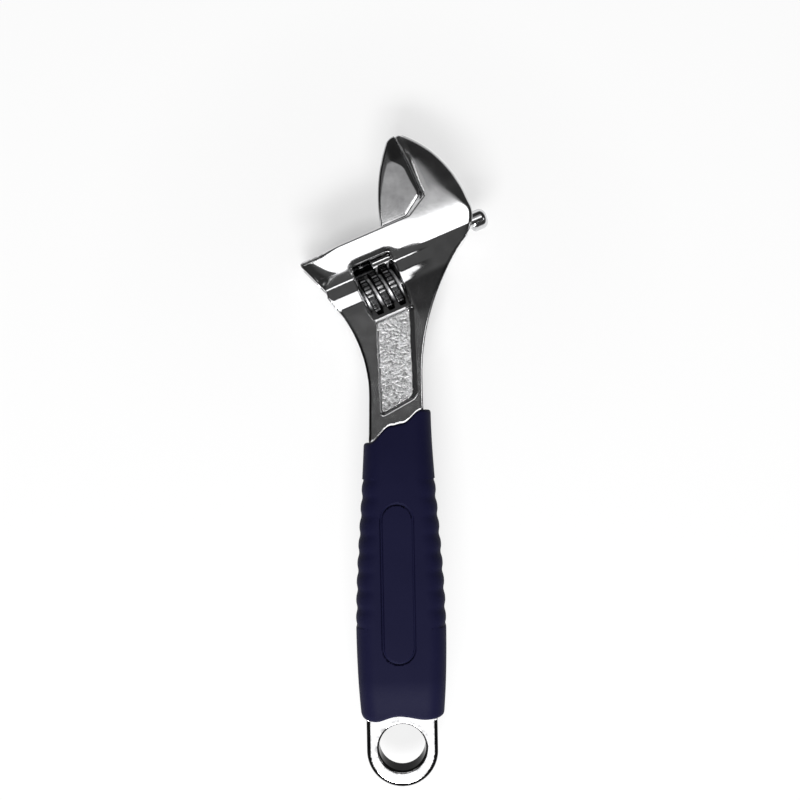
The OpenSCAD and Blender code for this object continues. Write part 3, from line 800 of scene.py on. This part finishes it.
def noiseIn(material, place, size, detail=3, roughness=0.5):  # size of its grains in mm
    return addNode(material, "ShaderNodeTexNoise",
                   {"Vector": place, "Scale": 1 / (size * mm), "Detail": detail,
                    "Roughness": roughness}).outputs["Fac"]


def spread(material, value, fromLow, fromHigh, toLow, toHigh):
    return addNode(material, "ShaderNodeMapRange",
                   {"Value": value, "From Min": fromLow, "From Max": fromHigh,
                    "To Min": toLow, "To Max": toHigh}).outputs["Result"]


def combine(material, operation, a, b):
    return addNode(material, "ShaderNodeMath", {0: a, 1: b}, operation=operation).outputs[0]


def times(material, a, b):
    return combine(material, "MULTIPLY", a, b)


def mixColours(material, factor, a, b):
    node = addNode(material, "ShaderNodeMix", {"Factor": factor}, data_type="RGBA")
    node.inputs[6].default_value, node.inputs[7].default_value = a, b
    return node.outputs[2]


def blendColours(material, factor, a, b):  # the same for two colours that already vary
    node = addNode(material, "ShaderNodeMix", {"Factor": factor}, data_type="RGBA")
    material.node_tree.links.new(a, node.inputs[6])
    material.node_tree.links.new(b, node.inputs[7])
    return node.outputs[2]


def mark(material, name):
    return addNode(material, "ShaderNodeAttribute", attribute_name=name).outputs["Fac"]


def bumpOf(material, height, depth):  # depth in mm
    return addNode(material, "ShaderNodeBump",
                   {"Height": height, "Distance": depth * mm, "Strength": 1.0}).outputs["Normal"]


chromeSettings = {  # colours are the darkest and the lightest of each tone
    "fineGrain": 0.45,  # sizes in mm
    "broadGrain": 3.5,
    "lumpGrain": 0.9,
    "chipGrain": 1.6,
    "rippleGrain": 1.1,
    "clean": ((0.68, 0.68, 0.69, 1), (0.80, 0.80, 0.81, 1)),
    "shadeTone": ((0.18, 0.18, 0.185, 1), (0.36, 0.36, 0.37, 1)),
    "dipShade": ((0.22, 0.22, 0.22, 1), (0.34, 0.34, 0.34, 1)),  # in the dips of the cast panel
    "nicked": ((0.08, 0.08, 0.08, 1), (0.16, 0.16, 0.16, 1)),  # painted shade in the dips of the cast panel
    # painted shade on walls, edges and corners
    "bare": ((0.02, 0.02, 0.02, 1), (0.05, 0.05, 0.052, 1)),
    "edgeTint": (0.45, 0.45, 0.45, 1),  # grazing tint under the painted shade, which darkens its reflection along the surface
    "dips": (0.36, 0.56, 1, 0),  # which lumps of the noise become dips, and which become chips
    "chips": (0.46, 0.6, 0, 0.9),
    "rough": (0.08, 0.12),
    "satinRough": 0.10,
    "castRough": 0.3,
    "castDepth": 0.5,  # depths in mm
    "satinDepth": 0.01,
    "rippleDepth": 0.008,
}


def forgedChrome():
    s = chromeSettings
    material, shader, place = newMaterial("forgedChrome")
    cast, satin, inner = (mark(material, name) for name in ("castFloor", "satin", "inner"))
    fine = noiseIn(material, place, s["fineGrain"], 4, 0.6)
    broad = noiseIn(material, place, s["broadGrain"], 2)
    lumps = noiseIn(material, place, s["lumpGrain"], 4, 0.65)
    dips = times(material, spread(material, lumps, *s["dips"]), cast)
    chips = spread(material, noiseIn(material, place, s["chipGrain"], 3, 0.6), *s["chips"])
    chips = times(material, chips, mark(material, "rim"))
    colour = mixColours(material, broad, *s["clean"])
    # painted shade tone, blended in by its mark
    shadeTone = mixColours(material, lumps, *s["shadeTone"])
    colour = blendColours(material, mark(material, "paintedDusk"), colour, shadeTone)
    # painted shade in the dips and on the walls and edges, real chips in the plating at the ring
    for factor, name in ((dips, "dipShade"), (chips, "nicked"), (inner, "bare")):
        colour = blendColours(material, factor, colour, mixColours(material, fine, *s[name]))
    rough = spread(material, broad, 0.35, 0.65, *s["rough"])
    rough = combine(material, "ADD", rough, times(material, satin, s["satinRough"]))
    rough = combine(material, "ADD", rough, times(material, cast, s["castRough"]))
    castDepth = times(material, times(material, cast, s["castDepth"]), lumps)
    satinDepth = times(material, times(material, satin, s["satinDepth"]), fine)
    ripple = noiseIn(material, place, s["rippleGrain"], 3, 0.6)
    ripple = times(material, ripple, s["rippleDepth"])
    height = combine(material, "ADD", castDepth, combine(material, "ADD", satinDepth, ripple))
    # a darker grazing tint under the painted shade
    edge = mixColours(material, inner, (1, 1, 1, 1), s["edgeTint"])
    feed(material, shader, Base_Color=colour, Metallic=1.0, Roughness=rough,
         Normal=bumpOf(material, height, 1.0), Specular_Tint=edge)
    return material


jawChromeSettings = {
    "broadGrain": 5,
    "fineGrain": 0.5,
    "clean": ((0.60, 0.60, 0.61, 1), (0.82, 0.82, 0.83, 1)),
    "shadeTone": ((0.06, 0.06, 0.062, 1), (0.12, 0.12, 0.124, 1)),
    "rough": (0.09, 0.15),
    "depth": 0.006,
}


def jawChrome():
    s = jawChromeSettings
    material, shader, place = newMaterial("jawChrome")
    broad = noiseIn(material, place, s["broadGrain"], 4)
    fine = noiseIn(material, place, s["fineGrain"], 3)
    clean = mixColours(material, spread(material, broad, 0.35, 0.65, 0, 1), *s["clean"])
    # painted shade tone, blended in by the jaw's mark
    shadeTone = mixColours(material, fine, *s["shadeTone"])
    feed(material, shader, Base_Color=blendColours(material, mark(material, "paintedDusk"), clean, shadeTone),
         Metallic=1.0, Roughness=spread(material, fine, 0.3, 0.7, *s["rough"]),
         Normal=bumpOf(material, fine, s["depth"]))
    return material


knurlChromeSettings = {
    "grain": 0.35,
    # dark tone over most of the knurl; light tone on the groove floors, and as a painted highlight on
    # the ridge tops
    "darkTone": ((0.05, 0.05, 0.05, 1), (0.12, 0.12, 0.125, 1)),
    "lightTone": ((0.62, 0.62, 0.63, 1), (0.85, 0.85, 0.86, 1)),
    "edgeTint": (0.3, 0.3, 0.3, 1),
    "grooveShine": 0.75,
    "rough": (0.14, 0.22),
    "lightRough": 0.4,
    "depth": 0.03,
}


def knurlChrome():
    s = knurlChromeSettings
    material, shader, place = newMaterial("knurlChrome")
    fine = noiseIn(material, place, s["grain"], 3)
    # the light tone's share: groove floors, and the painted highlight on the ridge tops
    lightTone = combine(material, "MAXIMUM", times(material, mark(material, "groove"), s["grooveShine"]),
                   mark(material, "ridgeHighlight"))
    colour = blendColours(material, lightTone, mixColours(material, fine, *s["darkTone"]),
                          mixColours(material, fine, *s["lightTone"]))
    rough = combine(material, "ADD", spread(material, fine, 0.3, 0.7, *s["rough"]),
                    times(material, lightTone, s["lightRough"]))
    feed(material, shader, Base_Color=colour, Metallic=1.0, Roughness=rough,
         Normal=bumpOf(material, fine, s["depth"]), Specular_Tint=s["edgeTint"])
    return material


steelSettings = {  # of the pin and the spring
    "grain": 0.4,
    "colours": ((0.40, 0.40, 0.41, 1), (0.52, 0.52, 0.53, 1)),
    "rough": (0.25, 0.4),
    "depth": 0.01,
}


def plainSteel(name):
    s = steelSettings
    material, shader, place = newMaterial(name)
    fine = noiseIn(material, place, s["grain"], 3)
    feed(material, shader, Base_Color=mixColours(material, fine, *s["colours"]), Metallic=1.0,
         Roughness=spread(material, fine, 0.3, 0.7, *s["rough"]),
         Normal=bumpOf(material, fine, s["depth"]))
    return material


vinylSettings = {
    "grain": 0.5,
    "broadGrain": 14,
    "colours": ((0.0062, 0.0062, 0.026, 1), (0.0090, 0.0090, 0.033, 1)),
    "rough": (0.5, 0.62),
    "shine": 0.06,
    "depth": 0.03,
}


def navyVinyl():
    s = vinylSettings
    material, shader, place = newMaterial("navyVinyl")
    grain = noiseIn(material, place, s["grain"], 4, 0.6)
    broad = noiseIn(material, place, s["broadGrain"], 2)
    feed(material, shader, Base_Color=mixColours(material, broad, *s["colours"]),
         Roughness=spread(material, grain, 0.3, 0.7, *s["rough"]),
         Normal=bumpOf(material, grain, s["depth"]), Specular_IOR_Level=s["shine"])
    return material


# Floor, lamps and world

# All lamps hang level. Each one is (left, right, near, far, glow) in metres, at lampHeight,
# and its glow is what a mirror would show.
lampHeight = 0.8
lampSettings = {
    "headBox": (-0.25, 0.25, 0.254, 0.44, 2.0),
    "headFade1": (-0.25, 0.25, 0.44, 0.47, 1.2),
    "headFade2": (-0.25, 0.25, 0.47, 0.50, 0.8),
    "headFade3": (-0.25, 0.22, 0.50, 0.53, 0.5),
    "jawPanel": (-0.30, 0.10, 0.53, 0.85, 0.36),
    "jawFade": (0.10, 0.17, 0.53, 0.80, 0.16),
    "edgeStrip": (-0.55, -0.37, 0.36, 0.56, 2.2),
    "bevelBox": (0.70, 1.05, -0.10, 0.20, 2.2),
    "ringBox": (-0.30, 0.30, -0.72, -0.20, 1.5),
    "ringFade": (0.30, 0.325, -0.60, -0.20, 0.35),
    "ringSide": (-0.60, -0.30, -0.72, -0.42, 1.5),
    "footBox": (0.22, 0.34, -0.46, -0.24, 3.5),
    "frontBox": (-0.55, 0.35, -1.35, -0.75, 25.0),
}


def makeLamp(name, left, right, near, far, glow):
    data = bpy.data.lights.new(name, "AREA")
    data.shape = "RECTANGLE"
    data.size, data.size_y = right - left, far - near
    data.energy = glow * math.pi * data.size * data.size_y
    lamp = bpy.data.objects.new(name, data)
    lamp.location = ((left + right) / 2, (near + far) / 2, lampHeight)
    bpy.context.scene.collection.objects.link(lamp)


floorSettings = {
    "size": 6.0,
    "gap": 0.0002,  # between the wrench and the paper
    "rough": 0.9,
    "shine": 0.1,
    # from one distance from the window to another, in metres, the value goes from one to another
    "nearGlow": (0.0135, 0.028, 0.02, 0.6),
    "farGlow": (0.03, 0.10, 0, 0.25),
    "shade": (0.0130, 0.0155, 0.15, 0.93),  # painted shade: the paper under the head is darker
}


def paper():
    s = floorSettings
    material, shader, place = newMaterial("floorPaper")
    window = (headPlace[0] * mm, headPlace[1] * mm, 0)
    away = addNode(material, "ShaderNodeVectorMath", {0: place, 1: window}, operation="DISTANCE")
    away = away.outputs["Value"]
    feed(material, shader, Base_Color=spread(material, away, *s["shade"]), Roughness=s["rough"],
         Specular_IOR_Level=s["shine"])
    # it glows a little for the camera and in the metal, and keeps the wrench's shadow
    path = addNode(material, "ShaderNodeLightPath")
    seen = path.outputs["Is Camera Ray"]
    for ray in ("Is Glossy Ray", "Is Transmission Ray"):
        seen = combine(material, "MAXIMUM", seen, path.outputs[ray])
    near = combine(material, "ADD", spread(material, away, *s["nearGlow"]),
                   spread(material, away, *s["farGlow"]))
    glow = addNode(material, "ShaderNodeEmission", {"Color": (1, 1, 1, 1), "Strength": 1.0})
    mix = addNode(material, "ShaderNodeMixShader",
                  {0: times(material, seen, near), 1: shader.outputs[0], 2: glow.outputs[0]})
    out = material.node_tree.nodes["Material Output"]
    material.node_tree.links.new(mix.outputs[0], out.inputs["Surface"])
    return material


def makeFloor():
    size = floorSettings["size"]
    z = cadBox[0][2] - floorSettings["gap"]
    mesh = bpy.data.meshes.new("floor")
    mesh.from_pydata([(-size, -size, z), (size, -size, z), (size, size, z), (-size, size, z)], [],
                     [(0, 1, 2, 3)])
    mesh.materials.append(paper())
    floor = bpy.data.objects.new("floor", mesh)
    bpy.context.scene.collection.objects.link(floor)


# greys of the world, from straight down, at 0, to straight up, at 1
worldSettings = {"greys": [(0.0, 0.5), (0.2, 0.035), (0.93, 0.03), (0.985, 0.08)]}


def makeWorld():
    world = bpy.data.worlds.new("studio")
    world.use_nodes = True
    bpy.context.scene.world = world
    nodes, links = world.node_tree.nodes, world.node_tree.links
    coord = nodes.new("ShaderNodeTexCoord")
    split = nodes.new("ShaderNodeSeparateXYZ")
    links.new(coord.outputs["Generated"], split.inputs[0])
    ramp = nodes.new("ShaderNodeValToRGB")
    stops = ramp.color_ramp.elements
    for i, (place, grey) in enumerate(worldSettings["greys"]):
        stop = stops[i] if i < 2 else stops.new(place)  # a new ramp has two stops
        stop.position = place
        stop.color = (grey, grey, grey, 1)
    links.new(split.outputs[2], ramp.inputs[0])
    links.new(ramp.outputs[0], nodes["Background"].inputs["Color"])
    nodes["Background"].inputs["Strength"].default_value = 1.0


pieces = [
    (makeBody(), forgedChrome()),
    (makeJaw(), jawChrome()),
    (makeKnurl(), knurlChrome()),
    (makeGrip(), navyVinyl()),
]
for piece, material in pieces:
    piece.data.materials.append(material)
for node, name in (("knurl_pin", "pinSteel"), ("knurl_spring", "springWire")):
    slots = bpy.data.objects[node].data.materials
    slots.clear()
    slots.append(plainSteel(name))
print("pieces ready")

makeFloor()
makeWorld()
for name, lamp in lampSettings.items():
    makeLamp(name, *lamp)
bpy.context.scene.view_settings.view_transform = "Standard"
print("studio ready")
